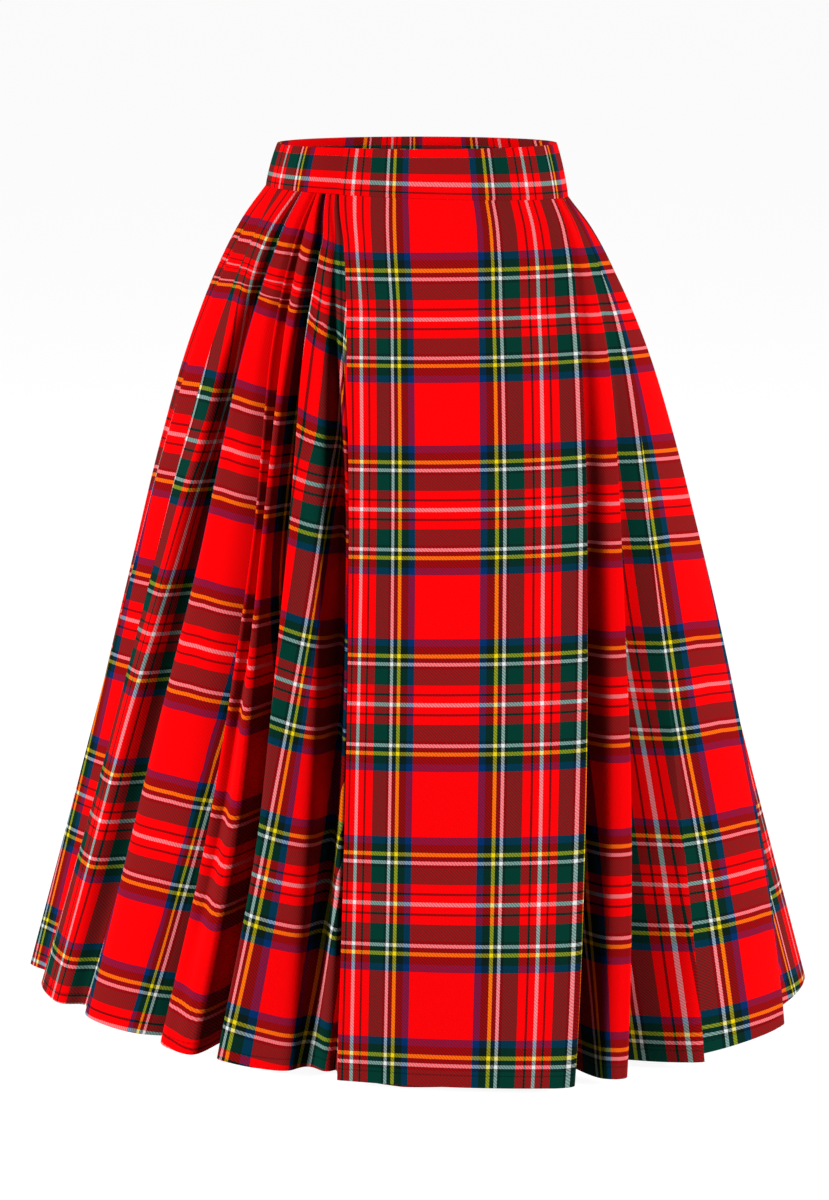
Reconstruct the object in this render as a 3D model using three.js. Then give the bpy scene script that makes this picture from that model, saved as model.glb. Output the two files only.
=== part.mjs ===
import * as THREE from "three";

// A wrapped, pleated tartan skirt worn open and hollow: a flat front panel,
// pleats laid away from it on both sides, and one waistband strip.
// Millimetres. +X is the side of the pleats beside the free edge of the front
// panel, -Y is the front, +Z is up. The origin is the middle of the waist.

// Cloth
const WALL = 1.2;
const BAND_WALL = 2.4;
const SEAM_GAP = 0.3;

// Waistband
const BAND_TOP = 21;
const BAND_BOTTOM = -19.3;
const SEAM_TILT = 4.7;
const BAND_TOP_HALF_WIDTH = 120;
const BAND_TOP_HALF_DEPTH = 86;
const BAND_STEPS = 56;
const BAND_OVER_END = -30;
const BAND_UNDER_END = 14;
const BAND_STEP_IN = 3.1;
const BAND_STEP_LENGTH = 22;

// Body of the skirt, top row to hem: height, half width, half depth in front
// and behind. t runs from 0 at the waist seam to 1 at the hem.
const LEVELS = [
  { z: BAND_BOTTOM - SEAM_GAP, width: 130, front: 91, back: 91 },
  { z: -46, width: 149.5, front: 99, back: 106 },
  { z: -88, width: 172, front: 112.5, back: 128 },
  { z: -150, width: 197, front: 133, back: 156 },
  { z: -235, width: 222, front: 160, back: 187 },
  { z: -345, width: 250, front: 195, back: 220 },
  { z: -470, width: 282, front: 236, back: 255 },
  { z: -600, width: 316, front: 278, back: 292 },
  { z: -717.4, width: 348, front: 316, back: 326 },
];
const HEM_Z = LEVELS[LEVELS.length - 1].z;

// Rise of the hem round the skirt, by angle from the middle of the front.
const HEM_RISE = [
  { angle: -180, rise: 2 },
  { angle: -120, rise: 3 },
  { angle: -90, rise: 7 },
  { angle: -73, rise: 15 },
  { angle: -60, rise: 13 },
  { angle: -45, rise: 8 },
  { angle: -24, rise: 2 },
  { angle: 0, rise: 0 },
  { angle: 180, rise: 2 },
];

// Depth of a pleat under the waistband and space between its three layers.
const WAIST_DEPTH = 6;
const WAIST_LAYER = 1.9;
const HEM_LAYER = 9;

// Pleats beside the front panel, from the panel outward. The angle of each
// folded edge is given at five or six heights; lap is how far the cloth turns
// back under the edge; out is how far the edge stands from the mean outline at
// the hem, and under is the same for the start of the next pleat; middle is
// how much further out an edge stands at two thirds of the way down.
const STATIONS = { waist: -19.6, yoke: -60, hip: -120, thigh: -300, knee: -500, hem: HEM_Z };
const LEFT_PLEATS = [
  { waist: -37, yoke: -30.5, hip: -28.6, thigh: -26.5, knee: -26.5, hem: -29.4,
    lapWaist: 5, lapHem: 16, out: -20, under: -52 },
  { waist: -41.5, yoke: -35.5, hip: -34, thigh: -31, knee: -31, hem: -34.5,
    lapWaist: 3, lapHem: 3, out: -24, under: -34 },
  { waist: -46, yoke: -41, hip: -39.5, thigh: -37, knee: -36.5, hem: -42.5,
    lapWaist: 3, lapHem: 14, out: -24, under: -50 },
  { waist: -51.5, yoke: -49, hip: -48.5, thigh: -51, knee: -54, hem: -55,
    lapWaist: 4, lapHem: 3, out: -44, under: -52 },
  { waist: -57, yoke: -55, hip: -55, thigh: -58.5, knee: -61.5, hem: -63,
    lapWaist: 4, lapHem: 3, out: -24, under: -30 },
  { waist: -64.5, yoke: -61, hip: -62, thigh: -65.5, knee: -69, hem: -73.5,
    lapWaist: 5, lapHem: 22, out: -6, under: -38 },
  { waist: -74, yoke: -73, hip: -74, thigh: -79, knee: -84, hem: -90,
    lapWaist: 5, lapHem: 20, out: 0, under: -24 },
  { waist: -83, yoke: -83, hip: -84, thigh: -90, knee: -96, hem: -102,
    lapWaist: 6, lapHem: 18, out: 0, under: -24 },
];
const RIGHT_PLEATS = [
  { waist: 64.5, yoke: 55.5, hip: 47, thigh: 36, knee: 28, hem: 20.9,
    lapWaist: 5.5, lapHem: 36, out: 24, under: -5 },
  { waist: 69.5, yoke: 62, hip: 56.5, thigh: 45, knee: 36.5, hem: 28.3,
    lapWaist: 3, lapHem: 20, out: 20, under: 4 },
  { waist: 74.5, yoke: 69, hip: 66, thigh: 53.5, knee: 46, hem: 40.5,
    lapWaist: 3, lapHem: 6, out: 22, under: 0 },
  { waist: 79.5, yoke: 82.5, hip: 84, thigh: 76, knee: 67, hem: 62,
    lapWaist: 3, lapHem: 28, out: 11, under: -18, middle: 14 },
  { waist: 85, yoke: 91, hip: 95, thigh: 95, knee: 91, hem: 87.5,
    lapWaist: 5.5, lapHem: 20, out: 0, under: -24 },
];

// Knife pleats across the back, evenly spaced, both sets meeting as one
// inverted pleat at the middle of the back.
const BACK_PLEATS_A_SIDE = 9;
const BACK_LAP_WAIST = 5;
const BACK_LAP_HEM = 20;
const BACK_UNDER_HEM = -24;
const BACK_MEETING_ANGLE = 176.5;

// Front panel and the panel behind it
const PANEL_LEFT = { waist: -30, yoke: -22.7, hip: -18.4, thigh: -13.7, knee: -11.8, hem: -10.9 };
const PANEL_LEFT_OUT = -6;
const PANEL_STEPS = 9;
const PANEL_SIDE_TURN = 16;
const PANEL_SIDE_LAYER = 1.8;
const PANEL_SWELL_POWER = 1.6;
const PANEL_PLAIN_SHARE = 0.86;
const UNDER_RIGHT = { waist: 16, yoke: 13.5, hip: 12, thigh: 10.5, knee: 10, hem: 9.6 };
const UNDER_DEPTH_WAIST = 4.2;
const UNDER_DEPTH_HEM = 14;
const UNDER_STEPS = 8;
const UNDER_SHOWN = 2;
const UNDER_HEM_DROP = 6;
const UNDER_DROP_FROM = -11;
const UNDER_DROP_TO = -2;

// How the pleats open toward the hem and how their faces bow.
const OPENING_POWER = 1.25;
const LAYERS_IN_DEPTH = 2.2;
const FACE_BOW = 0.35;
const FACE_POINTS = [0.4, 0.75];
const MEETING_POINTS = [0.5, 1];
const MITRE_LIMIT = 0.55;

const RADIANS = Math.PI / 180;
const mix = (a, b, s) => a + (b - a) * s;

function lookUp(table, key, value, name) {
  for (let i = 1; i < table.length; i += 1) {
    if (value <= table[i][key] || i === table.length - 1) {
      const low = table[i - 1];
      const high = table[i];
      const s = (value - low[key]) / (high[key] - low[key]);
      return mix(low[name], high[name], Math.min(Math.max(s, 0), 1));
    }
  }
  return table[0][name];
}

// Angle of a fold at a height, from its stations.
function foldAngle(row, z) {
  const names = Object.keys(STATIONS);
  for (let i = 1; i < names.length; i += 1) {
    const high = STATIONS[names[i - 1]];
    const low = STATIONS[names[i]];
    if (z >= low || i === names.length - 1) {
      const s = Math.min(Math.max((high - z) / (high - low), 0), 1);
      return mix(row[names[i - 1]], row[names[i]], s);
    }
  }
  return row.hem;
}

// One height of the skirt: where its points lie and how open its folds are.
function makeLevel(row) {
  const t = (row.z - LEVELS[0].z) / (HEM_Z - LEVELS[0].z);
  return { ...row, t, open: t ** OPENING_POWER };
}

function outlinePoint(level, angle, out) {
  const a = angle * RADIANS;
  const depth = Math.cos(a) > 0 ? level.front : level.back;
  const normal = new THREE.Vector2(Math.sin(a) / level.width, -Math.cos(a) / depth).normalize();
  return new THREE.Vector2(
    level.width * Math.sin(a) + normal.x * out,
    -depth * Math.cos(a) + normal.y * out,
  );
}

function degreesFor(level, angle, length) {
  const a = angle * RADIANS;
  const depth = Math.cos(a) > 0 ? level.front : level.back;
  return length / (Math.hypot(level.width * Math.cos(a), depth * Math.sin(a)) * RADIANS);
}

function heightAt(level, angle) {
  const rise = lookUp(HEM_RISE, "angle", angle, "rise");
  const tilt = -SEAM_TILT * Math.sin(angle * RADIANS);
  return level.z + rise * level.t + tilt * (1 - level.t) ** 2;
}

// Points of one fold: over the outer edge, back under by the lap, round the
// inner edge, ready for the next face. side is -1 to the left, 1 to the right.
function foldPoints(level, row, side) {
  const angle = foldAngle(row, level.z);
  const out = row.out * level.open + (row.middle ?? 0) * Math.sin(Math.PI * level.t ** 2);
  const under = mix(-WAIST_DEPTH, row.under, level.open);
  const lap = mix(row.lapWaist, row.lapHem, level.open);
  const layer = Math.min((out - under) / LAYERS_IN_DEPTH, mix(WAIST_LAYER, HEM_LAYER, level.open));
  const turn = Math.min(layer / 2, lap / 3);
  const unit = degreesFor(level, angle, 1) * side;
  const inner = angle - unit * lap;
  return [
    { angle: angle - unit * turn, out },
    { angle, out: out - layer / 2 },
    { angle: angle - unit * turn, out: out - layer },
    { angle: inner + unit * turn, out: under + layer },
    { angle: inner, out: under + layer / 2 },
    { angle: inner + unit * turn, out: under },
  ];
}

// Points across a visible face between two folds, bowed outward a little.
function facePoints(from, to, level) {
  const bow = FACE_BOW * Math.min(Math.abs(to.out - from.out), HEM_LAYER);
  return FACE_POINTS.map((s) => ({
    angle: mix(from.angle, to.angle, s),
    out: mix(from.out, to.out, s) + bow * Math.sin(Math.PI * s) * level.open,
  }));
}

function backPleats(side, lastRow) {
  const rows = [];
  for (let i = 1; i <= BACK_PLEATS_A_SIDE; i += 1) {
    const s = i / BACK_PLEATS_A_SIDE;
    const row = { lapWaist: BACK_LAP_WAIST, lapHem: BACK_LAP_HEM, out: 0, under: BACK_UNDER_HEM };
    for (const name of Object.keys(STATIONS)) {
      row[name] = mix(lastRow[name], BACK_MEETING_ANGLE * side, s);
    }
    rows.push(row);
  }
  return rows;
}

// The whole run of pleats on one side, as points and the place of each fold.
function pleatRun(level, rows, side, first) {
  const points = [...first];
  const marks = [];
  rows.forEach((row) => {
    const fold = foldPoints(level, row, side);
    points.push(...facePoints(points[points.length - 1], fold[0], level));
    points.push(...fold.slice(0, 3));
    marks.push(points.length - 1);
    points.push(...fold.slice(3));
  });
  return { points, marks };
}

const LEFT_ROWS = [...LEFT_PLEATS, ...backPleats(-1, LEFT_PLEATS[LEFT_PLEATS.length - 1])];
const RIGHT_ROWS = [...RIGHT_PLEATS, ...backPleats(1, RIGHT_PLEATS[RIGHT_PLEATS.length - 1])];

// Front panel from its left edge, which turns under, to its right edge.
function panelStart(level) {
  const left = foldAngle(PANEL_LEFT, level.z);
  const right = foldAngle(RIGHT_PLEATS[0], level.z);
  const unit = degreesFor(level, left, 1);
  const points = [
    { angle: left + unit * PANEL_SIDE_TURN, out: PANEL_LEFT_OUT * level.open - PANEL_SIDE_LAYER },
    { angle: left + unit * PANEL_SIDE_LAYER, out: PANEL_LEFT_OUT * level.open - PANEL_SIDE_LAYER },
    { angle: left, out: PANEL_LEFT_OUT * level.open - PANEL_SIDE_LAYER / 2 },
  ];
  const count = PANEL_STEPS - 1;
  for (let i = 0; i < count; i += 1) {
    const s = i / count;
    const swell = mix(PANEL_LEFT_OUT, RIGHT_PLEATS[0].out, s ** PANEL_SWELL_POWER) * level.open;
    points.push({ angle: mix(left + unit * PANEL_SIDE_LAYER, right, s * PANEL_PLAIN_SHARE), out: swell });
  }
  return points;
}

// The panel behind, from its free edge toward the left pleats.
function underStart(level) {
  const right = foldAngle(UNDER_RIGHT, level.z);
  const panelLeft = foldAngle(PANEL_LEFT, level.z);
  const left = panelLeft - degreesFor(level, panelLeft, UNDER_SHOWN);
  const depth = -mix(UNDER_DEPTH_WAIST, UNDER_DEPTH_HEM, level.open);
  const points = [];
  for (let i = 0; i <= UNDER_STEPS; i += 1) {
    points.push({ angle: mix(right, left, i / UNDER_STEPS), out: depth });
  }
  return points;
}

// Cuts a run of points to the stretch between two marks, each end half a
// seam gap short of the middle of the hidden layer it falls in.
function cutRun(run, level, fromMark, toMark) {
  const place = ({ angle, out }) => outlinePoint(level, angle, out);
  const plan = run.points.map(place);
  const seam = (mark, forward) => {
    const a = plan[mark];
    const b = plan[mark + 1];
    const length = a.distanceTo(b);
    const s = 0.5 + (forward * SEAM_GAP) / 2 / length;
    const angle = mix(run.points[mark].angle, run.points[mark + 1].angle, s);
    return { plan: a.clone().lerp(b, s), angle };
  };
  const start = fromMark === null ? 0 : run.marks[fromMark] + 1;
  const end = toMark === null ? plan.length - 1 : run.marks[toMark];
  const out = [];
  if (fromMark !== null) out.push(seam(run.marks[fromMark], 1));
  for (let i = start; i <= end; i += 1) out.push({ plan: plan[i], angle: run.points[i].angle });
  if (toMark !== null) out.push(seam(run.marks[toMark], -1));
  return out;
}

// Both faces of a wall along a plan path, mitred at each point.
function wallPoints(path, wall) {
  const half = wall / 2;
  const sides = [[], []];
  path.forEach((point, i) => {
    const before = path[Math.max(i - 1, 0)].plan;
    const after = path[Math.min(i + 1, path.length - 1)].plan;
    const here = point.plan;
    const a = i > 0 ? here.clone().sub(before).normalize() : after.clone().sub(here).normalize();
    const b = i < path.length - 1 ? after.clone().sub(here).normalize() : a.clone();
    const normal = new THREE.Vector2(a.y + b.y, -a.x - b.x).normalize();
    const stretch = half / Math.max(normal.dot(new THREE.Vector2(a.y, -a.x)), MITRE_LIMIT);
    sides[0].push(here.clone().addScaledVector(normal, stretch));
    sides[1].push(here.clone().addScaledVector(normal, -stretch));
  });
  return sides;
}

// A closed shell from rows of wall sections, top row first.
function shellFromRows(rows) {
  const count = rows[0][0].length;
  const positions = [];
  const index = [];
  for (const [outer, inner] of rows) {
    for (const p of outer) positions.push(p.x, p.y, p.z);
    for (const p of inner) positions.push(p.x, p.y, p.z);
  }
  const at = (row, side, i) => (row * 2 + side) * count + i;
  const quad = (a, b, c, d) => index.push(a, b, c, a, c, d);
  const last = rows.length - 1;
  for (let r = 0; r < last; r += 1) {
    for (let i = 0; i < count - 1; i += 1) {
      quad(at(r, 0, i), at(r + 1, 0, i), at(r + 1, 0, i + 1), at(r, 0, i + 1));
      quad(at(r, 1, i), at(r, 1, i + 1), at(r + 1, 1, i + 1), at(r + 1, 1, i));
    }
    quad(at(r, 0, 0), at(r, 1, 0), at(r + 1, 1, 0), at(r + 1, 0, 0));
    quad(at(r, 0, count - 1), at(r + 1, 0, count - 1), at(r + 1, 1, count - 1), at(r, 1, count - 1));
  }
  for (let i = 0; i < count - 1; i += 1) {
    quad(at(0, 0, i), at(0, 0, i + 1), at(0, 1, i + 1), at(0, 1, i));
    quad(at(last, 0, i), at(last, 1, i), at(last, 1, i + 1), at(last, 0, i + 1));
  }
  const geometry = new THREE.BufferGeometry();
  geometry.setAttribute("position", new THREE.Float32BufferAttribute(positions, 3));
  geometry.setIndex(index);
  geometry.computeVertexNormals();
  return geometry;
}

function underDrop(angle) {
  const s = (angle - UNDER_DROP_FROM) / (UNDER_DROP_TO - UNDER_DROP_FROM);
  return UNDER_HEM_DROP * Math.min(Math.max(s, 0), 1);
}

function panelShell(makeRun, fromMark, toMark, reversed, drop = () => 0) {
  const rows = LEVELS.map(makeLevel).map((level) => {
    const path = cutRun(makeRun(level), level, fromMark, toMark);
    if (reversed) path.reverse();
    const sides = wallPoints(path, WALL);
    return sides.map((side) => side.map((p, i) => new THREE.Vector3(
      p.x,
      p.y,
      heightAt(level, path[i].angle) - drop(path[i].angle) * level.t,
    )));
  });
  return shellFromRows(rows);
}

// The two runs end behind the meeting edges at the middle of the back, one
// short of the other by the seam gap.
function leftRun(level) {
  const run = pleatRun(level, LEFT_ROWS, -1, underStart(level));
  const { angle, out } = run.points[run.points.length - 1];
  const end = -180 + degreesFor(level, 180, SEAM_GAP / 2);
  for (const s of MEETING_POINTS) run.points.push({ angle: mix(angle, end, s), out });
  return run;
}

function rightRun(level) {
  const run = pleatRun(level, RIGHT_ROWS, 1, panelStart(level));
  const { angle, out } = run.points[run.points.length - 1];
  const end = 180 - degreesFor(level, 180, SEAM_GAP / 2);
  for (const s of MEETING_POINTS) run.points.push({ angle: mix(angle, end, s), out });
  return run;
}

// The waistband: one strip round the waist whose over end lies on its under
// end at the left edge of the front panel.
function bandShell() {
  const turns = 360 + BAND_UNDER_END - BAND_OVER_END;
  const step = [];
  for (let i = 0; i <= BAND_STEPS; i += 1) step.push((turns * i) / BAND_STEPS);
  const rows = [
    { z: BAND_TOP, width: BAND_TOP_HALF_WIDTH, front: BAND_TOP_HALF_DEPTH, back: BAND_TOP_HALF_DEPTH, s: 0 },
    { z: BAND_BOTTOM, width: LEVELS[0].width, front: LEVELS[0].front, back: LEVELS[0].back, s: 1 },
  ].map((level) => {
    const path = step.map((turn) => {
      const angle = BAND_OVER_END + turn;
      const fall = Math.min(Math.max((turn - (360 - BAND_STEP_LENGTH)) / BAND_STEP_LENGTH, 0), 1);
      return { angle, plan: outlinePoint(level, angle, -BAND_WALL / 2 - BAND_STEP_IN * fall) };
    });
    return wallPoints(path, BAND_WALL).map((side) => side.map((p, i) => new THREE.Vector3(
      p.x,
      p.y,
      level.z - level.s * SEAM_TILT * Math.sin(path[i].angle * RADIANS),
    )));
  });
  return shellFromRows(rows);
}

const LEFT_SEAM = LEFT_PLEATS.length - 1;
const RIGHT_SEAM = RIGHT_PLEATS.length - 1;

const PIECES = [
  { name: "waistband", make: bandShell },
  { name: "front_panel", make: () => panelShell(rightRun, null, 0, false) },
  { name: "under_panel", make: () => panelShell(leftRun, null, 0, true, underDrop) },
  { name: "left_pleats", make: () => panelShell(leftRun, 0, LEFT_SEAM, true) },
  { name: "back_left_pleats", make: () => panelShell(leftRun, LEFT_SEAM, null, true) },
  { name: "back_right_pleats", make: () => panelShell(rightRun, RIGHT_SEAM, null, false) },
  { name: "right_pleats", make: () => panelShell(rightRun, 0, RIGHT_SEAM, false) },
];

const skirt = new THREE.Group();
skirt.name = "pleated_midi_skirt";
for (const { name, make } of PIECES) {
  const cloth = new THREE.MeshStandardMaterial({ color: 0xc4121a, roughness: 0.9 });
  const mesh = new THREE.Mesh(make(), cloth);
  mesh.name = name;
  skirt.add(mesh);
}

export default skirt;
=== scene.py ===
import math

import bpy
import numpy as np
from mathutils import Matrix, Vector


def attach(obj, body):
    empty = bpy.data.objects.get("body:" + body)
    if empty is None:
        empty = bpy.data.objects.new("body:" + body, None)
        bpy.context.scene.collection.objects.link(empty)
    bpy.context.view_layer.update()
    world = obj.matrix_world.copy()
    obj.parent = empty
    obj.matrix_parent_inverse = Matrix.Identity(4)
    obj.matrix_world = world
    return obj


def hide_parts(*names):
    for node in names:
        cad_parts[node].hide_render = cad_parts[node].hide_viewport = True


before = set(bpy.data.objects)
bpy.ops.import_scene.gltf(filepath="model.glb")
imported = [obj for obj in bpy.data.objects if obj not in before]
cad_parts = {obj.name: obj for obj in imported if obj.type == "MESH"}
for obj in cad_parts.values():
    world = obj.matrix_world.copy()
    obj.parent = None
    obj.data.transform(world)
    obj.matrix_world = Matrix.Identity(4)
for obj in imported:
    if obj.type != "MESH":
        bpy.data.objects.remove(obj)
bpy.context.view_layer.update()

# Everything is worked out in millimetres and set down in metres.
MM = 0.001
HALF_CLOTH = 0.55
STATION_COUNT = 6

# Mean outline from the waist seam down to the hem: height, half width, half
# depth in front and behind. The half widths are rounded from what a separate
# program measured on the photograph. The depth in front runs about evenly
# down to the hem's, which a program fitted. The depth behind is a guess.
OUTLINE = np.array([
    # height, width, front, back
    (-19.6, 130.0, 91.0, 91.0),
    (-46.0, 149.5, 99.0, 106.0),
    (-88.0, 172.0, 112.5, 128.0),
    (-150.0, 197.0, 133.0, 156.0),
    (-235.0, 222.0, 160.0, 187.0),
    (-345.0, 250.0, 195.0, 220.0),
    (-470.0, 282.0, 236.0, 255.0),
    (-600.0, 316.0, 278.0, 292.0),
    (-717.4, 348.0, 316.0, 326.0),
])
WAIST_Z = OUTLINE[0, 0]
HEM_Z = OUTLINE[-1, 0]
STATION_Z = np.array([WAIST_Z, -60.0, -120.0, -300.0, -500.0, HEM_Z])
SEAM_TILT = 4.7
OPENING_POWER = 1.25

# Rise of the hem by angle from the middle of the front.
HEM_RISE = np.array([
    # angle, rise
    (-180, 2), (-120, 3), (-90, 7), (-73, 15), (-60, 13), (-45, 8), (-24, 2), (0, 0), (180, 2),
], float)

# Rows of the cloth, closer together at both ends.
HEIGHTS = np.concatenate([
    np.linspace(WAIST_Z, -60.0, 9)[:-1],
    np.linspace(-60.0, -700.0, 82)[:-1],
    np.linspace(-700.0, HEM_Z, 6),
])


def smooth_curve(places, values, at):
    """A smooth curve through a short table, without overshoot."""
    places, values = np.asarray(places, float), np.asarray(values, float)
    if places[0] > places[-1]:
        places, values = places[::-1], values[::-1]
    step = np.diff(places)
    slope = np.diff(values) / step
    tangent = np.zeros(len(places))
    tangent[0], tangent[-1] = slope[0], slope[-1]
    for i in range(1, len(places) - 1):
        if slope[i - 1] * slope[i] > 0:
            a = 2 * step[i] + step[i - 1]
            b = step[i] + 2 * step[i - 1]
            tangent[i] = (a + b) / (a / slope[i - 1] + b / slope[i])
    at = np.clip(at, places[0], places[-1])
    k = np.clip(np.searchsorted(places, at) - 1, 0, len(step) - 1)
    s = (at - places[k]) / step[k]
    low = (1 + 2 * s) * (1 - s) ** 2 * values[k] + s * s * (3 - 2 * s) * values[k + 1]
    return low + step[k] * (s * (1 - s) ** 2 * tangent[k] - s * s * (1 - s) * tangent[k + 1])


WIDTH, FRONT, BACK = (smooth_curve(OUTLINE[:, 0], OUTLINE[:, i], HEIGHTS) for i in (1, 2, 3))
DOWN = (HEIGHTS - WAIST_Z) / (HEM_Z - WAIST_Z)
OPEN = DOWN ** OPENING_POWER


def station(values):
    """Values at every row of the cloth, from six at the stations."""
    return smooth_curve(STATION_Z, values, HEIGHTS)


def plan_point(angle, out):
    """Plan places of a line down the cloth, from its angles and its distances from the outline."""
    a = np.radians(angle)
    depth = np.where(np.cos(a) > 0, FRONT, BACK)
    normal = np.stack([np.sin(a) / WIDTH, -np.cos(a) / depth], -1)
    normal /= np.linalg.norm(normal, axis=-1, keepdims=True)
    point = np.stack([WIDTH * np.sin(a), -depth * np.cos(a)], -1)
    return point + normal * out[..., None]


def degrees_for(angle, length):
    """How many degrees a length in millimetres takes up on the outline."""
    a = np.radians(angle)
    depth = np.where(np.cos(a) > 0, FRONT, BACK)
    return length / np.radians(np.hypot(WIDTH * np.cos(a), depth * np.sin(a)))


# Pleats, from the front panel outward. A row is a fold or a plain line on a
# face. angles: at the six stations. out: distance from the outline at the
# hem, or at each station. lap: how far the cloth turns back, at waist and hem.
# under: where the next face starts, at the hem. show: how much of the fold
# there is, at the stations. middle: how far it stands out below the middle.
# face: its threads stand in WARP_LINES. thread: number of the warp thread on
# the edge, at the stations. A fold with neither lies on the face of the next.
# The angles of the main folds are mostly as a separate program printed them or
# rounded from that, fitted to points that were read off the photograph by eye.
# The rest were set between them.
LEFT_ROWS = [
    dict(angles=(-31.5, -24, -20, -14.6, -12.6, -11.8), out=(-2, -4, -10, -36, -46, -34)),
    dict(angles=(-32.2, -24.8, -21, -15.4, -13.6, -13.2), out=(-2, -3, -8, -24, -28, -22)),
    dict(angles=(-33.0, -25.6, -22.0, -16.6, -15.2, -15.8), out=(-2, -4, -11, -38, -50, -34)),
    dict(angles=(-33.5, -26.4, -22.8, -17.8, -16.6, -17.4), out=(-2, -4, -11, -36, -46, -30)),
    dict(angles=(-34.0, -27.1, -23.8, -19.2, -17.8, -18.6), out=(-2, -3, -5, -12, -15, -14)),
    dict(angles=(-35.2, -28.6, -26, -22.6, -21.6, -24), out=-14),
    dict(angles=(-36, -30.5, -29.7, -27.5, -27.3, -30.2), out=-16, lap=(4, 12), under=-70, face="L4"),
    dict(angles=(-36.8, -31.6, -30.8, -29.2, -29.4, -32.6), out=(-5, -9, -19, -48, -62, -68)),
    dict(angles=(-38.2, -33.4, -32.6, -31.8, -31, -33.6), out=(-5, -9, -18, -46, -58, -62)),
    dict(angles=(-38.8, -34.2, -33.6, -33, -31, -33), out=-14),
    dict(angles=(-40.2, -36.8, -35.8, -33.4, -32.4, -35), out=-10),
    dict(angles=(-40.9, -39.2, -37.6, -34.6, -34.8, -37.6), out=(-3, -7, -11, -20, -20, -13)),
    dict(angles=(-41.6, -41, -39.8, -36.2, -37.2, -40.9), out=-18, lap=(4, 12), under=-46, face="L3"),
    dict(angles=(-43.6, -43.2, -42.4, -39.6, -40.6, -44.4), out=-22),
    dict(angles=(-45.6, -45.4, -45.2, -44.2, -46.6, -49.6), out=-12),
    dict(angles=(-48.2, -48.2, -48.8, -50.4, -54.2, -56.4), out=-8),
    dict(angles=(-49.8, -50, -51, -53.6, -58, -59.6), out=(-5, -9, -17, -32, -34, -22)),
    dict(angles=(-51, -51.2, -52.4, -56, -60.4, -61.4), out=(-5, -9, -17, -32, -34, -22)),
    dict(angles=(-53, -53, -54, -57.4, -61.6, -62.8), out=-3),
    dict(angles=(-58, -56.6, -57.2, -60.4, -64.4, -67.4), out=-3),
    dict(angles=(-66, -62.2, -62.6, -66.3, -70, -76), out=-8, lap=(5, 18), under=-50, face="L2"),
    dict(angles=(-74, -73, -74, -79, -84, -90), out=0, lap=(5, 20), under=-24,
         thread=(99, 87, 76, 58, 39, 24)),
    dict(angles=(-83, -83, -84, -90, -96, -102), out=0, lap=(6, 18), under=-24, thread=(-20,) * 6),
]
RIGHT_ROWS = [
    dict(angles=(64.5, 55.3, 46.7, 35.6, 27.6, 20.5), out=24, lap=(5.5, 30), under=-34, face="apron"),
    dict(angles=(66, 57.4, 49.2, 38.2, 29.8, 22.4), out=-42),
    dict(angles=(67, 58.8, 51.2, 40.2, 31.6, 24), out=10),
    dict(angles=(68.4, 60.4, 53.8, 42.6, 34, 26.2), out=19),
    dict(angles=(69.5, 62, 56, 44.6, 36.5, 28.3), out=20, lap=(3, 18), under=-20,
         show=(0.3, 0.1, 0.04, 0.3, 1, 1), face="P2"),
    dict(angles=(70.4, 63.3, 58.4, 46.4, 38, 30), out=-30),
    dict(angles=(74.5, 69, 66, 53.5, 46, 40.5), out=22, lap=(3, 7), under=2,
         show=(1, 1, 0.8, 0.1, 0.03, 1)),
    dict(angles=(79.5, 82.5, 84, 76, 67, 62), out=11, lap=(3, 26), under=-18, middle=14, face="P4"),
    dict(angles=(85, 91, 95, 95, 91, 87.5), out=0, lap=(5.5, 20), under=-24, thread=(31,) * 6),
]
# Knife pleats between the last row and the middle of the back, on each side.
BACK_PLEATS = 9
BACK_MEETING_ANGLE = 176.5
BACK_THREAD_STEP = 62
BACK_LAP = (5, 20)
BACK_UNDER = -24
THREADS_PER_MM = 1.16

# How deep the pleats are at the waist, and how far apart their layers lie.
WAIST_DEPTH, WAIST_LAYER, HEM_LAYER = 6.0, 1.9, 9.0
LAYERS_IN_DEPTH = 2.2
FACE_BOW = 0.3
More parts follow.
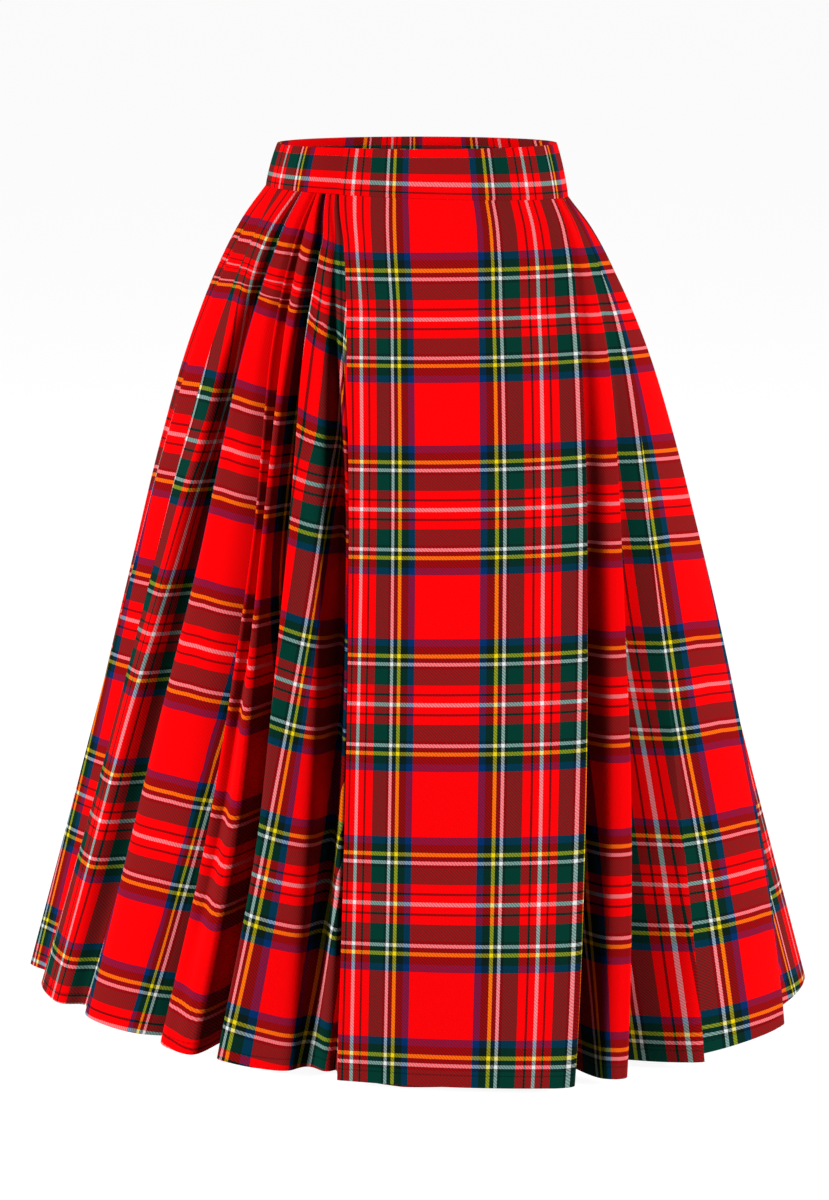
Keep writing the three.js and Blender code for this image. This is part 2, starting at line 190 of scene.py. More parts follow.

# Warp threads on the faces that show, from the front outward. In the lower
# half the angles are mostly what a separate program printed, or near it,
# fitted to points that were read off the photograph by eye. Toward the waist
# those of the pleats were mostly set one by one.
WARP_LINES = [
    # face, thread, angles at the stations
    ("L4", 151, (-22, -17, -13, -8, -11.8, -16.2)),
    ("L4", 143, (-23, -18, -14, -9.4, -13.3, -17.7)),
    ("L4", 126, (-24, -19, -15.4, -15.1, -16.7, -18.6)),
    ("L4", 64, (-26, -20, -17.6, -18.9, -20.8, -24.2)),
    ("L4", 47, (-27, -20.6, -18.2, -19.6, -23.3, -28.3)),
    ("L4", 39, (-28, -21.4, -19, -20.6, -24.6, -29.1)),
    ("L4", 0, (-36.2, -30.8, -29.8, -29.6, -32, -35.4)),
    ("L3", 126, (-38.6, -33.9, -33.2, -32.6, -30.6, -32.6)),
    ("L3", 66, (-41.4, -40.8, -39.6, -36, -37, -40.7)),
    ("L2", 151, (-36, -35, -33, -32.2, -38.3, -44.8)),
    ("L2", 143, (-37, -36, -34, -33.5, -39.4, -45.6)),
    ("L2", 126, (-39, -38, -36.6, -36.2, -40.9, -47.3)),
    ("L2", 64, (-47.7, -47.5, -47.8, -49.4, -54.4, -55.6)),
    ("L2", 47, (-49.6, -50, -50.6, -55.2, -58.6, -59.4)),
    ("L2", 39, (-50.4, -51, -51.4, -55.9, -59.4, -60.3)),
    ("L2", 0, (-52.1, -53.9, -53.4, -57.2, -62.8, -65.7)),
    ("apron", -15, (-29.6, -22.6, -18.3, -13.7, -11.8, -10.9)),
    ("apron", 0, (-23.6, -18.6, -14.5, -11.2, -10.0, -9.0)),
    ("apron", 39, (-11, -8.9, -6.5, -4.9, -4.5, -4.4)),
    ("apron", 64, (-3.2, -2.1, -0.9, -0.4, -0.8, -1.3)),
    ("apron", 126, (21.2, 18.7, 15.9, 12.5, 9.7, 7.0)),
    ("apron", 151, (29.2, 25.7, 22.1, 17.5, 13.6, 10.1)),
    ("apron", 190, (44.8, 39.2, 33.2, 25.4, 19.8, 14.8)),
    ("apron", 229, (61.6, 52.6, 44.1, 33.6, 25.6, 19.0)),
    ("apron", 240, (68.5, 58.7, 50, 37.2, 28.2, 21.4)),
    ("P2", 39, (56, 50, 42, 32, 29, 24.4)),
    ("P2", 64, (60, 54, 46, 36, 31, 25.8)),
    ("P2", 126, (70, 63, 57, 46, 37.6, 30.4)),
    ("P4", 143, (64, 56, 48.5, 40.5, 35.6, 32.8)),
    ("P4", 151, (66, 57, 49.5, 41, 36, 33.6)),
    ("P4", 186, (67, 59.3, 52, 44.1, 41.5, 38)),
    ("P4", 194, (70, 61.7, 54, 45.7, 42.9, 39.2)),
    ("P4", 220, (72.5, 66, 61, 51.6, 46.6, 45.2)),
    ("P4", 229, (75, 69.6, 64.5, 53.4, 48.2, 47.2)),
    ("P4", 237, (77, 72, 66.6, 55, 49.6, 48.8)),
    ("P4", 254, (80.2, 76, 71.4, 60.4, 53.8, 52.4)),
]
# Columns of cloth for each line on a face, and for each line of a fold.
FACE_SAMPLES, FOLD_SAMPLES = 6, 3
# Lines across a face, as shares of it: after a plain line, and after a fold.
SHARES_AFTER_LINE, SHARES_AFTER_FOLD = (0.5,), (0.3, 0.7)
# At the middle of the back the right end lies on the left one, in millimetres.
RIGHT_END_PAST, LEFT_END_PAST, LEFT_TURN = 2.0, 6.0, (-1.5, 1.0)
TUCK_WAIST, TUCK_OPEN = 1.2, 1.6


def back_rows(side, last):
    """Even knife pleats from the last row of a side to the middle of the back."""
    rows = []
    for i in range(1, BACK_PLEATS + 1):
        s = i / BACK_PLEATS
        angles = tuple(a + (BACK_MEETING_ANGLE * side - a) * s for a in last["angles"])
        thread = last["thread"][0] + side * BACK_THREAD_STEP * i
        rows.append(dict(
            angles=angles, out=0, lap=BACK_LAP, under=BACK_UNDER, thread=(thread,) * STATION_COUNT,
        ))
    return rows


def fold_lines(row, side):
    """The six lines of a fold: over the edge, back under it and round the inner edge."""
    angle = station(row["angles"])
    show = station(row.get("show", (1,) * STATION_COUNT))
    out = row["out"] * OPEN + row.get("middle", 0) * np.sin(np.pi * DOWN ** 2)
    under = -WAIST_DEPTH + (row["under"] + WAIST_DEPTH) * OPEN
    under = out + (under - out) * show
    lap = (row["lap"][0] + (row["lap"][1] - row["lap"][0]) * OPEN) * show
    layer = np.minimum((out - under) / LAYERS_IN_DEPTH, WAIST_LAYER + (HEM_LAYER - WAIST_LAYER) * OPEN)
    turn = np.minimum(layer / 2, lap / 3)
    unit = degrees_for(angle, 1.0) * side
    inner = angle - unit * lap
    return [
        (angle - unit * turn, out),
        (angle, out - layer / 2),
        (angle - unit * turn, out - layer),
        (inner + unit * turn, under + layer),
        (inner, under + layer / 2),
        (inner + unit * turn, under),
    ]


def face_lines(start, end, shares):
    """Lines across a face, bowed outward a little."""
    turn, rise = end[0] - start[0], end[1] - start[1]
    bow = FACE_BOW * np.minimum(np.abs(rise), HEM_LAYER) * OPEN
    return [(start[0] + turn * s, start[1] + rise * s + bow * math.sin(math.pi * s)) for s in shares]


def make_run(first, rows, side):
    """All the lines of one side: (angle, out, samples), and where each fold starts."""
    lines = [(a, o, FACE_SAMPLES) for a, o in first]
    folds = []
    plain_before = True
    for row in rows:
        if "lap" not in row:
            out = row["out"] * OPEN if isinstance(row["out"], int) else station(row["out"])
            lines.append((station(row["angles"]), out, FACE_SAMPLES))
            plain_before = True
            continue
        fold = fold_lines(row, side)
        shares = SHARES_AFTER_LINE if plain_before else SHARES_AFTER_FOLD
        lines += [(a, o, FACE_SAMPLES) for a, o in face_lines(lines[-1][:2], fold[0], shares)]
        folds.append((len(lines), row))
        lines += [(a, o, FOLD_SAMPLES) for a, o in fold]
        plain_before = False
    meeting = np.full(len(HEIGHTS), 180.0 * side)
    unit = degrees_for(meeting, 1.0) * side
    a, o, _ = lines[-1]
    lines.append(((a + meeting) / 2, o, FACE_SAMPLES))
    if side > 0:
        lines.append((meeting + unit * RIGHT_END_PAST, o, FACE_SAMPLES))
    else:
        tuck = o - TUCK_WAIST - TUCK_OPEN * OPEN
        lines.append((meeting + unit * LEFT_TURN[0], o, FACE_SAMPLES))
        lines.append((meeting + unit * LEFT_TURN[1], tuck, FACE_SAMPLES))
        lines.append((meeting + unit * LEFT_END_PAST, tuck, FACE_SAMPLES))
    return lines, folds


def sample_run(lines):
    """Soft columns through the lines. Returns plan places, angles and the first column of each line."""
    control = np.stack([plan_point(a, o) for a, o, _ in lines], 1)
    angle = np.stack([a for a, _, _ in lines], 1)[..., None]
    both = np.concatenate([control, angle], -1)
    columns, starts = [], []
    count = len(lines)
    for i in range(count):
        here = both[:, i]
        before = (both[:, i - 1] + here) / 2 if i else here
        after = (both[:, i + 1] + here) / 2 if i < count - 1 else here
        starts.append(len(columns))
        for j in range(lines[i][2]):
            s = j / lines[i][2]
            columns.append(before * (1 - s) ** 2 + here * 2 * s * (1 - s) + after * s * s)
    columns.append(both[:, -1])
    made = np.stack(columns, 1)
    return made[..., :2], made[..., 2], starts


def seat(plan, angle, drop=0.0):
    """Gives the plan places their heights."""
    rise = np.interp(angle, HEM_RISE[:, 0], HEM_RISE[:, 1])
    tilt = -SEAM_TILT * np.sin(np.radians(angle))
    z = HEIGHTS[:, None] + (rise - drop) * DOWN[:, None] + tilt * (1 - DOWN[:, None]) ** 2
    return np.concatenate([plan, z[..., None]], -1)


# Heights of weft threads by angle round the skirt; thread 0 is the first
# white pivot line below the waist. In front they are rounded from what a
# separate program made of points read off the photograph by eye; behind they
# are guesses. Above the table a thread takes this height.
WEFT_STEP = 0.82
WEFT_THREADS = np.array([-64, -47, -39, 0, 39, 47, 64, 190, 380, 570, 760], float)
WEFT_HEIGHTS = np.array([
    # angle, then the height of each thread above
    (-180, -63, -78, -85, -117, -148, -154, -168, -269, -423, -578, -733),
    (-110, -50, -64, -71, -95, -115, -121, -134, -240, -398, -556, -714),
    (-85, -39, -52, -58, -76, -91, -97, -108, -224, -386, -545, -703),
    (-58, -41, -54, -62, -82, -91, -96, -108, -225, -388, -549, -705),
    (-46, -45, -59, -66, -90, -99, -104, -116, -228, -390, -551, -707),
    (-38, -47, -61, -68, -94, -104, -110, -122, -234, -395, -555, -712),
    (-32, -51, -66, -73, -97, -108, -114, -127, -241, -402, -561, -718),
    (-26, -57, -72, -79, -105, -120, -127, -141, -248, -408, -566, -722),
    (-18, -60, -75, -83, -112, -135, -142, -155, -256, -416, -572, -728),
    (-10, -63, -78, -85, -117, -148, -154, -168, -269, -423, -578, -733),
    (40, -63, -78, -85, -118, -149, -155, -169, -271, -424, -579, -734),
    (60, -64, -79, -86, -119, -150, -156, -170, -273, -428, -583, -738),
    (75, -65, -80, -87, -121, -152, -158, -172, -278, -436, -592, -747),
    (90, -66, -81, -88, -122, -154, -160, -174, -283, -445, -600, -755),
    (180, -63, -78, -85, -117, -148, -154, -168, -269, -423, -578, -733),
], float)


def weft_at(angle, z):
    """Weft thread number at each place."""
    table = np.stack([
        np.interp(angle, WEFT_HEIGHTS[:, 0], WEFT_HEIGHTS[:, k + 1]) for k in range(len(WEFT_THREADS))
    ], -1)
    made = WEFT_THREADS[0] + (table[..., 0] - z) / WEFT_STEP
    for k in range(len(WEFT_THREADS) - 1):
        s = (table[..., k] - z) / (table[..., k] - table[..., k + 1])
        value = WEFT_THREADS[k] + s * (WEFT_THREADS[k + 1] - WEFT_THREADS[k])
        made = np.where(s > 0, value, made)
    return made


# What the hem's stitching reads on cloth that has no hem.
FAR_FROM_HEM = 400.0
SHARP_ANGLE = 60


def sheet_faces(rows, columns, strips, weft):
    """Faces of a closed sheet, front, back and rims, with both thread numbers at their corners."""
    shift = rows * columns
    r, c = np.meshgrid(np.arange(rows - 1), np.arange(columns - 1), indexing="ij")
    r, c = r.ravel(), c.ravel()
    corners = [(r, c), (r + 1, c), (r + 1, c + 1), (r, c + 1)]
    a, b, d, e = (row * columns + column for row, column in corners)
    left, right = strips
    ua, ub, ud, ue = left[r, c], left[r + 1, c], right[r + 1, c], right[r, c]
    va, vb, vd, ve = (weft[row, column] for row, column in corners)
    faces = [np.stack([a, b, d, e], 1), np.stack([a, e, d, b], 1) + shift]
    us = [np.stack([ua, ub, ud, ue], 1), np.stack([ua, ue, ud, ub], 1)]
    vs = [np.stack([va, vb, vd, ve], 1), np.stack([va, ve, vd, vb], 1)]

    def rim(one, two, u1, u2, v1, v2, turned):
        quad = [one, two, two + shift, one + shift]
        u, v = [u1, u2, u2, u1], [v1, v2, v2, v1]
        if turned:
            quad, u, v = quad[::-1], u[::-1], v[::-1]
        faces.append(np.stack(quad, 1))
        us.append(np.stack(u, 1))
        vs.append(np.stack(v, 1))

    c = np.arange(columns - 1)
    last = (rows - 1) * columns
    rim(c, c + 1, left[0], right[0], weft[0, :-1], weft[0, 1:], False)
    rim(last + c, last + c + 1, left[-1], right[-1], weft[-1, :-1], weft[-1, 1:], True)
    r = np.arange(rows - 1) * columns
    rim(r, r + columns, left[:-1, 0], left[1:, 0], weft[:-1, 0], weft[1:, 0], True)
    end = columns - 1
    rim(r + end, r + columns + end, right[:-1, -1], right[1:, -1], weft[:-1, -1], weft[1:, -1], False)
    return np.concatenate(faces), np.concatenate(us).ravel(), np.concatenate(vs).ravel()


def add_layer(mesh, name, u, v):
    layer = mesh.uv_layers.new(name=name)
    layer.data.foreach_set("uv", np.stack([u, v], 1).astype(np.float32).ravel())


def cloth_object(name, places, strips, weft, half):
    """A thin closed sheet of cloth through rows and columns of places, in millimetres."""
    rows, columns = places.shape[:2]
    normal = np.cross(np.gradient(places, axis=0), np.gradient(places, axis=1))
    normal /= np.linalg.norm(normal, axis=-1, keepdims=True)
    outer, inner = places + normal * half, places - normal * half
    points = np.concatenate([outer.reshape(-1, 3), inner.reshape(-1, 3)]) * MM
    faces, u, v = sheet_faces(rows, columns, strips, weft)
    mesh = bpy.data.meshes.new(name)
    mesh.from_pydata(points.tolist(), [], faces.tolist())
    above = HEIGHTS - HEM_Z if rows == len(HEIGHTS) else np.full(rows, FAR_FROM_HEM)
    row_of_corner = faces.ravel() % (rows * columns) // columns
    add_layer(mesh, "threads", u, v)
    add_layer(mesh, "hem", above[row_of_corner], u)
    mesh.polygons.foreach_set("use_smooth", np.ones(len(mesh.polygons), bool))
    mesh.set_sharp_from_angle(angle=math.radians(SHARP_ANGLE))
    made = bpy.data.objects.new(name, mesh)
    bpy.context.scene.collection.objects.link(made)
    return made


def along_lines(at, places, numbers):
    """Thread numbers between drawn threads, going on at the cloth's own rate past both ends."""
    order = np.argsort(places)
    places, numbers = places[order], numbers[order]
    rate = THREADS_PER_MM if numbers[-1] > numbers[0] else -THREADS_PER_MM
    made = np.interp(at, places, numbers)
    made = np.where(at < places[0], numbers[0] + (at - places[0]) * rate, made)
    return np.where(at > places[-1], numbers[-1] + (at - places[-1]) * rate, made)


def drawn_threads(row, angle, length, inner, tip, side):
    """Warp thread numbers from the lines drawn on one face, which runs from column inner to column tip."""
    drawn = [(thread, station(angles)) for face, thread, angles in WARP_LINES if face == row["face"]]
    numbers = np.array([thread for thread, _ in drawn], float)
    places = np.stack([at for _, at in drawn], 1) * side
    mm_per_degree = 1 / degrees_for(station(row["angles"]), 1.0)
    value = np.zeros_like(length)
    for r in range(len(value)):
        turned = np.maximum.accumulate(angle[r, inner:tip + 1] * side)
        past = np.maximum(places[r] - turned[-1], 0) + np.minimum(places[r] - turned[0], 0)
        along = np.interp(places[r], turned, length[r, inner:tip + 1]) + past * mm_per_degree[r]
        value[r] = along_lines(length[r], along, numbers)
    return value


def counted_threads(row, length, tip, side):
    """Warp thread numbers counted from the thread on the edge of a fold."""
    return station(row["thread"])[:, None] + side * (length - length[:, tip:tip + 1]) * THREADS_PER_MM


def run_threads(plan, angle, folds, starts, side, inner):
    """Warp thread numbers at both sides of each strip between columns. Each stretch of cloth counts
    from the fold that ends it, and the count is taken up afresh in the hidden layer of a fold. The
    first face starts at column inner."""
    step = np.linalg.norm(np.diff(plan, axis=1), axis=-1)
    length = np.concatenate([np.zeros((plan.shape[0], 1)), np.cumsum(step, 1)], 1)
    left = np.zeros((plan.shape[0], plan.shape[1] - 1))
    right = left.copy()
    begin = 0
    for line, row in folds:
        if "face" not in row and "thread" not in row:
            continue
        tip = starts[line + 1] + FOLD_SAMPLES // 2
        end = starts[line + 3]
        if "face" in row:
            value = drawn_threads(row, angle, length, inner, tip, side)
        else:
            value = counted_threads(row, length, tip, side)
        left[:, begin:end] = value[:, begin:end]
        right[:, begin:end] = value[:, begin + 1:end + 1]
        begin = end
        inner = starts[line + 4] + 1
    left[:, begin:] = value[:, begin:-1]
    right[:, begin:] = value[:, begin + 1:]
    return left, right


# Front panel, from its turned left edge to its right fold.
PANEL_LEFT = (-30, -22.7, -18.4, -13.7, -11.8, -10.9)
PANEL_LEFT_OUT, PANEL_TURN, PANEL_TURN_START, PANEL_LAYER = -6.0, 16.0, 4.0, 1.8
PANEL_LINES, PANEL_FIRST, PANEL_SHARE, PANEL_SWELL_POWER = 8, 0.4, 0.94, 1.6
PANEL_EDGE_LINE = 3
panel_left = station(PANEL_LEFT)
panel_right = station(RIGHT_ROWS[0]["angles"])
unit = degrees_for(panel_left, 1.0)
turned_out = PANEL_LEFT_OUT * OPEN - PANEL_LAYER
panel_lines = [
    (panel_left + unit * PANEL_TURN, turned_out),
    (panel_left + unit * PANEL_TURN_START, turned_out),
    (panel_left, turned_out),
    (panel_left, PANEL_LEFT_OUT * OPEN),
]
for i in range(PANEL_LINES):
    s = (i + PANEL_FIRST) / PANEL_LINES
    swell = PANEL_LEFT_OUT + (RIGHT_ROWS[0]["out"] - PANEL_LEFT_OUT) * s ** PANEL_SWELL_POWER
    panel_lines.append((panel_left + (panel_right - panel_left) * s * PANEL_SHARE, swell * OPEN))

# Panel behind it, from its free edge toward the left pleats.
UNDER_RIGHT = (16, 13.5, 12, 10.5, 10, 9.6)
UNDER_DEPTH_WAIST, UNDER_DEPTH_HEM, UNDER_PAST, UNDER_SPANS = 4.2, 14.0, 2.0, 5
under_right = station(UNDER_RIGHT)
under_left = panel_left - degrees_for(panel_left, UNDER_PAST)
under_depth = -(UNDER_DEPTH_WAIST + (UNDER_DEPTH_HEM - UNDER_DEPTH_WAIST) * OPEN)
under_lines = [
    (under_right + (under_left - under_right) * i / UNDER_SPANS, under_depth) for i in range(UNDER_SPANS + 1)
]

SIDES = {}
for side, first, rows, face_line in (
    (1, panel_lines, RIGHT_ROWS + back_rows(1, RIGHT_ROWS[-1]), PANEL_EDGE_LINE),
    (-1, under_lines, LEFT_ROWS + back_rows(-1, LEFT_ROWS[-1]), 0),
):
    lines, folds = make_run(first, rows, side)
    plan, angle, starts = sample_run(lines)
    left, right = run_threads(plan, angle, folds, starts, side, starts[face_line])
    seams = [starts[line + 3] for line, _ in folds]
    SIDES[side] = dict(plan=plan, angle=angle, left=left, right=right, seams=seams)

# The cloth of each node. A seam is given by the number of the fold it lies behind.
PANELS = [
    # name, node, side, first seam, last seam
    ("front_panel_cloth", "front_panel", 1, None, 0),
    ("right_pleats_cloth", "right_pleats", 1, 0, 4),
    ("back_right_cloth", "back_right_pleats", 1, 4, None),
    ("under_panel_cloth", "under_panel", -1, None, 0),
    ("left_pleats_cloth", "left_pleats", -1, 0, 4),
    ("back_left_cloth", "back_left_pleats", -1, 4, None),
]
SEAM_HALF_GAP = 0.15
# The under panel hangs lower by this much, right of an angle and over so many degrees.
UNDER_DROP, UNDER_DROP_FROM, UNDER_DROP_OVER = 6.0, -11.0, 9.0


def panel_cloth(name, node, side, first_seam, last_seam):
    data = SIDES[side]
    begin = 0 if first_seam is None else data["seams"][first_seam]
    end = data["plan"].shape[1] - 1 if last_seam is None else data["seams"][last_seam]
    plan = data["plan"][:, begin:end + 1].copy()
    angle = data["angle"][:, begin:end + 1]
    for at, beside, seam in ((0, 1, first_seam), (-1, -2, last_seam)):
        if seam is not None:
            gap = plan[:, beside] - plan[:, at]
            plan[:, at] += gap * (SEAM_HALF_GAP / np.linalg.norm(gap, axis=-1))[:, None]
    drop = 0.0
    if node == "under_panel":
        drop = UNDER_DROP * np.clip((angle - UNDER_DROP_FROM) / UNDER_DROP_OVER, 0, 1)
    places = seat(plan, angle, drop)
    # The weft of the flat front panel runs straight across it.
    weft = weft_at(np.zeros_like(angle) if node == "front_panel" else angle, places[..., 2])
    left, right = data["left"][:, begin:end], data["right"][:, begin:end]
    if side < 0:
        places, weft = places[:, ::-1], weft[:, ::-1]
        left, right = right[:, ::-1], left[:, ::-1]
    return cloth_object(name, places, (left, right), weft, HALF_CLOTH)


pieces = {}
for name, node, side, first_seam, last_seam in PANELS:
    pieces[name] = (panel_cloth(name, node, side, first_seam, last_seam), node)

# Waistband: a double strip round the waist, its over end on its under end.
BAND_TOP, BAND_BOTTOM = 21.0, -19.3
BAND_HALF = 1.15
BAND_START, BAND_TURN, BAND_COLUMNS = -30.0, 404.0, 203
BAND_WIDE, BAND_DEEP = (120.0, 130.0), (86.0, 91.0)
BAND_IN, BAND_SWELL, BAND_SWELL_POWER = 1.2, 1.1, 0.7
# Before a full turn the band passes in under its own over end.
FALL, FALL_END, FALL_OVER = 3.1, 360.0, 22.0
# Rows down the band, as shares of its depth, close together at lines of the sett.
BAND_ROWS = np.array([0, 0.06, 0.168, 0.172, 0.28, 0.4, 0.5, 0.58, 0.655, 0.66, 0.745, 0.86, 0.9, 0.95, 1])


def between(pair, s):
    return pair[0] + (pair[1] - pair[0]) * s


band_turn = np.linspace(0, BAND_TURN, BAND_COLUMNS)
band_angle = BAND_START + band_turn
fall = np.clip((band_turn - (FALL_END - FALL_OVER)) / FALL_OVER, 0, 1)
fall = fall * fall * (3 - 2 * fall)
band_places = []
for s in BAND_ROWS:
    wide, deep = between(BAND_WIDE, s), between(BAND_DEEP, s)
    swell = BAND_SWELL * math.sin(math.pi * s) ** BAND_SWELL_POWER
    a = np.radians(band_angle)
    normal = np.stack([np.sin(a) / wide, -np.cos(a) / deep], -1)
    normal /= np.linalg.norm(normal, axis=-1, keepdims=True)
    point = np.stack([wide * np.sin(a), -deep * np.cos(a)], -1)
    point += normal * (swell - BAND_IN - FALL * fall)[:, None]
    z = between((BAND_TOP, BAND_BOTTOM), s) - s * SEAM_TILT * np.sin(a)
    band_places.append(np.concatenate([point, z[:, None]], -1))
band_places = np.stack(band_places)

# Warp threads round the band by angle from the middle of the front, and weft
# threads from its top edge down.
BAND_WARP = np.array([
    # angle, thread
    (-31, -17.5), (-24.6, 0), (-11.1, 39), (-8.7, 47), (-3.2, 64), (20.6, 126), (27.1, 143), (29.7, 151),
    (46, 190), (64.3, 229), (67, 237), (74, 254), (105, 316), (143.1, 380), (153.9, 419), (156.4, 427),
    (161, 444), (177.7, 506), (181.2, 523), (190.4, 570), (200, 609), (202, 617), (212, 634), (250, 696),
    (286, 741), (296, 760), (298.2, 779), (307.3, 799), (309, 807), (314.5, 824), (329, 862), (374, 935),
])
BAND_WEFT = np.array([
    # share of the depth, thread
    (0, -72), (0.168, -65), (0.172, -34.3), (0.5, -18.9), (0.655, -11), (0.66, -1.7), (0.745, 1.7),
    (0.86, 8.2), (0.9, 10.7), (1, 15),
])
band_thread = np.interp(band_angle, BAND_WARP[:, 0], BAND_WARP[:, 1])
band_weft = np.interp(BAND_ROWS, BAND_WEFT[:, 0], BAND_WEFT[:, 1])[:, None] * np.ones_like(band_thread)
band_left = np.ones((len(BAND_ROWS), 1)) * band_thread[:-1]
band_right = np.ones((len(BAND_ROWS), 1)) * band_thread[1:]
band = cloth_object("waistband_cloth", band_places, (band_left, band_right), band_weft, BAND_HALF)
pieces["waistband_cloth"] = (band, "waistband")


# The cloth: a twill tartan. YARN gives the colours as they show in the light,
# near the mean colours of six small patches of the photograph. SETT gives its
# bands by distance in threads from a white pivot; their edges were found with
# a separate program that read rows of the photograph.
YARN = {
    "white": (228, 234, 232), "red": (250, 1, 12), "black": (19, 32, 27),
    "green": (4, 58, 48), "yellow": (236, 208, 24), "blue": (7, 48, 100),
}
SETT = [
    # from thread, yarn
    (0, "white"), (1.5, "red"), (8.4, "black"), (10.6, "red"), (18.8, "green"), (34.4, "black"),
    (37.3, "white"), (40.7, "black"), (45.1, "yellow"), (48.9, "black"), (56.5, "blue"), (63.8, "red"),
]
HALF_SETT = 95.0
SHOWN_GAMMA = 2.2
# Twill: its wave in threads, and how the share of the weft goes to and fro.
TWILL_WAVE, TWILL_SWING, WEFT_SHARE = 3.1, 0.13, 0.47
# Wool sends back only a share of what falls on it.
WOOL_BRIGHTNESS = 0.55
# The stitched row: its height above the hem and half width in mm, a stitch's
# length in threads, how even it is, how dark and how deep.
STITCH_ROW, STITCH_WIDE, STITCH_LONG = 9.0, 0.9, 3.4
STITCH_EVEN, STITCH_DARK, STITCH_DEEP = 0.7, 0.3, 4.0
BUMP_STRENGTH, BUMP_DEPTH = 0.25, 0.0002


def add(tree, kind, **values):
    """A new shader node with these properties."""
    node = tree.nodes.new(kind)
    for key, value in values.items():
        setattr(node, key, value)
    return node


def maths(tree, operation, a, b=None, c=None):
    """The result of one sum on numbers or sockets."""
    node = add(tree, "ShaderNodeMath", operation=operation)
    for i, value in enumerate((a, b, c)):
        if value is None:
            continue
        if isinstance(value, (int, float)):
            node.inputs[i].default_value = value
        else:
            tree.links.new(value, node.inputs[i])
    return node.outputs[0]


def axes(tree, layer):
    """Both numbers of a layer of the mesh."""
    split = add(tree, "ShaderNodeSeparateXYZ")
    tree.links.new(add(tree, "ShaderNodeUVMap", uv_map=layer).outputs[0], split.inputs[0])
    return split.outputs[0], split.outputs[1]


def sett_colour(tree, thread):
    """Yarn colour of a thread; the sett is mirrored at its pivots."""
    wrapped = maths(tree, "FLOORED_MODULO", maths(tree, "ADD", thread, HALF_SETT), 2 * HALF_SETT)
    distance = maths(tree, "ABSOLUTE", maths(tree, "SUBTRACT", wrapped, HALF_SETT))
    ramp = add(tree, "ShaderNodeValToRGB")
    ramp.color_ramp.interpolation = "CONSTANT"
    elements = ramp.color_ramp.elements
    elements.remove(elements[1])
    for i, (start, yarn) in enumerate(SETT):
        element = elements[0] if i == 0 else elements.new(start / HALF_SETT)
        element.position = start / HALF_SETT
        element.color = tuple(v / 255 for v in YARN[yarn]) + (1,)
    tree.links.new(maths(tree, "DIVIDE", distance, HALF_SETT), ramp.inputs[0])
    return ramp.outputs[0]


def hem_stitches(tree):
    """Nought off the stitched row, and up to one on a stitch."""
    height, warp = axes(tree, "hem")
    beside = maths(tree, "ABSOLUTE", maths(tree, "SUBTRACT", height, STITCH_ROW))
    row = maths(tree, "SUBTRACT", 1.0, maths(tree, "DIVIDE", beside, STITCH_WIDE))
    row = maths(tree, "MAXIMUM", row, 0.0)
    dash = maths(tree, "SINE", maths(tree, "MULTIPLY", warp, 2 * math.pi / STITCH_LONG))
    dash = maths(tree, "MULTIPLY_ADD", dash, 1 - STITCH_EVEN, STITCH_EVEN)
    return maths(tree, "MULTIPLY", row, dash)


def tartan(name):
    material = bpy.data.materials.new(name)
    material.use_nodes = True
    tree = material.node_tree
    shader = tree.nodes["Principled BSDF"]
    warp, weft = axes(tree, "threads")
    # Twill lines fall from upper left to lower right.
    phase = maths(tree, "MULTIPLY", maths(tree, "SUBTRACT", warp, weft), 2 * math.pi / TWILL_WAVE)
    wave = maths(tree, "SINE", phase)
    mixed = add(tree, "ShaderNodeMix", data_type="RGBA")
    tree.links.new(maths(tree, "MULTIPLY_ADD", wave, TWILL_SWING, WEFT_SHARE), mixed.inputs[0])
    tree.links.new(sett_colour(tree, warp), mixed.inputs[6])
    tree.links.new(sett_colour(tree, weft), mixed.inputs[7])
    gamma = add(tree, "ShaderNodeGamma")
    gamma.inputs[1].default_value = SHOWN_GAMMA
    tree.links.new(mixed.outputs[2], gamma.inputs[0])
    # The hem is held by a row of small stitches sunk into the cloth.
    stitch = hem_stitches(tree)
    dim = add(tree, "ShaderNodeVectorMath", operation="SCALE")
    tree.links.new(gamma.outputs[0], dim.inputs[0])
    tree.links.new(maths(tree, "MULTIPLY_ADD", stitch, -STITCH_DARK, WOOL_BRIGHTNESS), dim.inputs["Scale"])
    tree.links.new(dim.outputs[0], shader.inputs["Base Color"])
    bump = add(tree, "ShaderNodeBump")
    bump.inputs["Strength"].default_value = BUMP_STRENGTH
    bump.inputs["Distance"].default_value = BUMP_DEPTH
    height = maths(tree, "SUBTRACT", wave, maths(tree, "MULTIPLY", stitch, STITCH_DEEP))
    tree.links.new(height, bump.inputs["Height"])
    tree.links.new(bump.outputs[0], shader.inputs["Normal"])
    shader.inputs["Roughness"].default_value = 0.9
    shader.inputs["Specular IOR Level"].default_value = 0.01
    shader.inputs["Sheen Weight"].default_value = 0.02
    shader.inputs["Sheen Roughness"].default_value = 0.5
    return material


skirt_cloth = tartan("skirt_wool")
band_cloth = tartan("waistband_wool")
for name, (piece, node) in pieces.items():
    is_band = node == "waistband"
    piece.data.materials.append(band_cloth if is_band else skirt_cloth)
    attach(piece, "root")
    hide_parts(node)

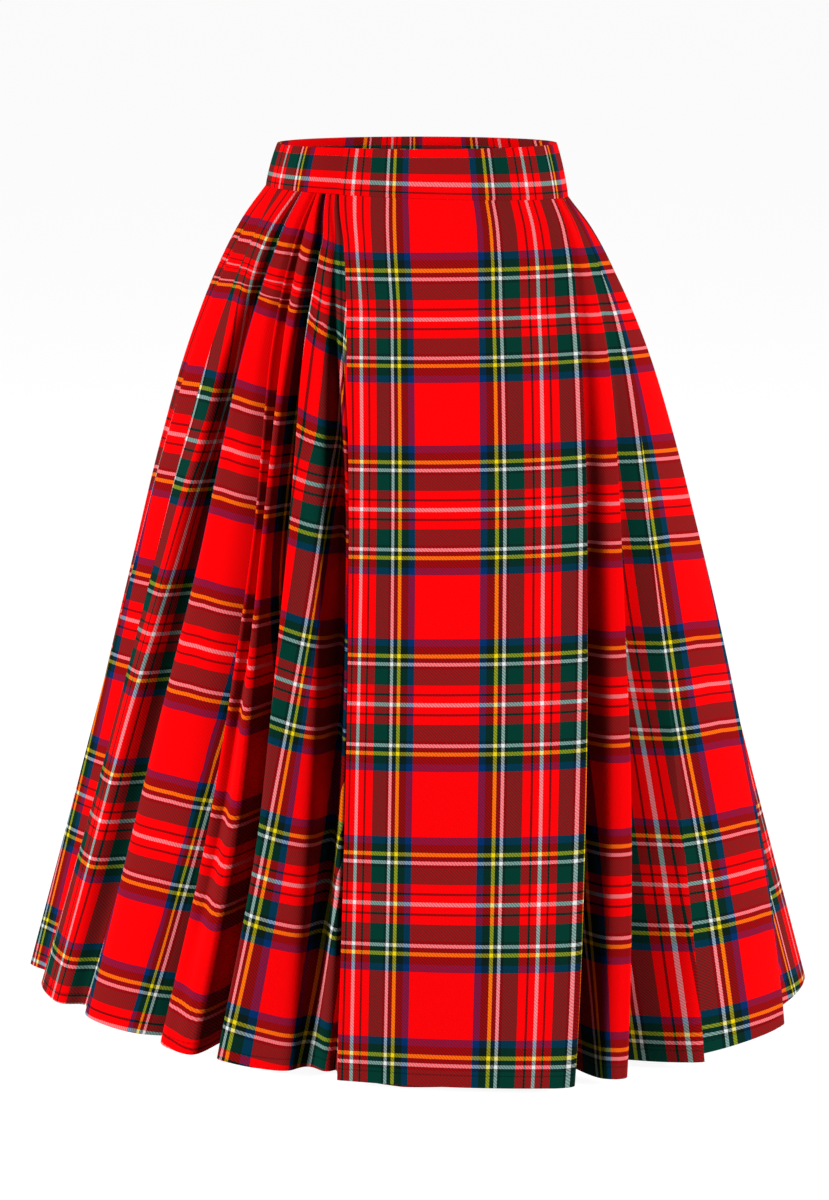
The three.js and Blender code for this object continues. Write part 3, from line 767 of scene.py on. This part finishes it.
# Floor
FLOOR_Z, FLOOR_SIZE = -0.7246, 60
FLOOR_GREY, FLOOR_GLOW = 0.2, 0.93
bpy.ops.mesh.primitive_plane_add(size=FLOOR_SIZE, location=(0, 0, FLOOR_Z))
floor = bpy.context.object
floor.name = "floor"
paint = bpy.data.materials.new("floor_white")
paint.use_nodes = True
floor_shader = paint.node_tree.nodes["Principled BSDF"]
floor_shader.inputs["Base Color"].default_value = (FLOOR_GREY, FLOOR_GREY, FLOOR_GREY, 1)
floor_shader.inputs["Roughness"].default_value = 1.0
floor_shader.inputs["Specular IOR Level"].default_value = 0.0
floor_shader.inputs["Emission Color"].default_value = (1, 1, 1, 1)
floor_shader.inputs["Emission Strength"].default_value = FLOOR_GLOW
floor.data.materials.append(paint)
# The pale floor doesn't light the pleats from below.
floor.visible_diffuse = False

# Studio. Seen directly it is white; what it sheds on the cloth is dimmer.
SKY_SEEN, SKY_SHED = 0.96, 0.15
world = bpy.data.worlds.new("studio")
bpy.context.scene.world = world
world.use_nodes = True
sky = world.node_tree.nodes["Background"]
sky.inputs[0].default_value = (1, 1, 1, 1)
path = add(world.node_tree, "ShaderNodeLightPath")
blend = add(world.node_tree, "ShaderNodeMix")
blend.inputs[2].default_value = SKY_SHED
blend.inputs[3].default_value = SKY_SEEN
world.node_tree.links.new(path.outputs["Is Camera Ray"], blend.inputs[0])
world.node_tree.links.new(blend.outputs[0], sky.inputs[1])

# Two low lamps at the sides leave the deep folds dark.
LAMPS = [
    # name, place, watts
    ("key", (-3.1, -1.8, 0.45), 256),
    ("fill", (3.2, -1.5, 0.45), 238),
]
LAMP_TARGET, LAMP_SIZE = Vector((0, 0, -0.35)), 1.1
for name, place, watts in LAMPS:
    lamp_data = bpy.data.lights.new(name, "AREA")
    lamp_data.shape = "DISK"
    lamp_data.size = LAMP_SIZE
    lamp_data.energy = watts
    lamp = bpy.data.objects.new(name, lamp_data)
    bpy.context.scene.collection.objects.link(lamp)
    lamp.location = place
    lamp.rotation_euler = (LAMP_TARGET - Vector(place)).to_track_quat("-Z", "Y").to_euler()

# Camera, at the photograph's height and tilt
CAMERA_PLACE, CAMERA_TILT, CAMERA_LENS, CAMERA_SENSOR = (-0.0022, -3.0, 0.2117), 78.87, 104.23, 36
bpy.context.scene.view_settings.view_transform = "Standard"
camera_data = bpy.data.cameras.new("camera")
camera_data.sensor_width = CAMERA_SENSOR
camera_data.lens = CAMERA_LENS
camera = bpy.data.objects.new("camera", camera_data)
bpy.context.scene.collection.objects.link(camera)
camera.location = CAMERA_PLACE
camera.rotation_euler = (math.radians(CAMERA_TILT), 0, 0)
bpy.context.scene.camera = camera
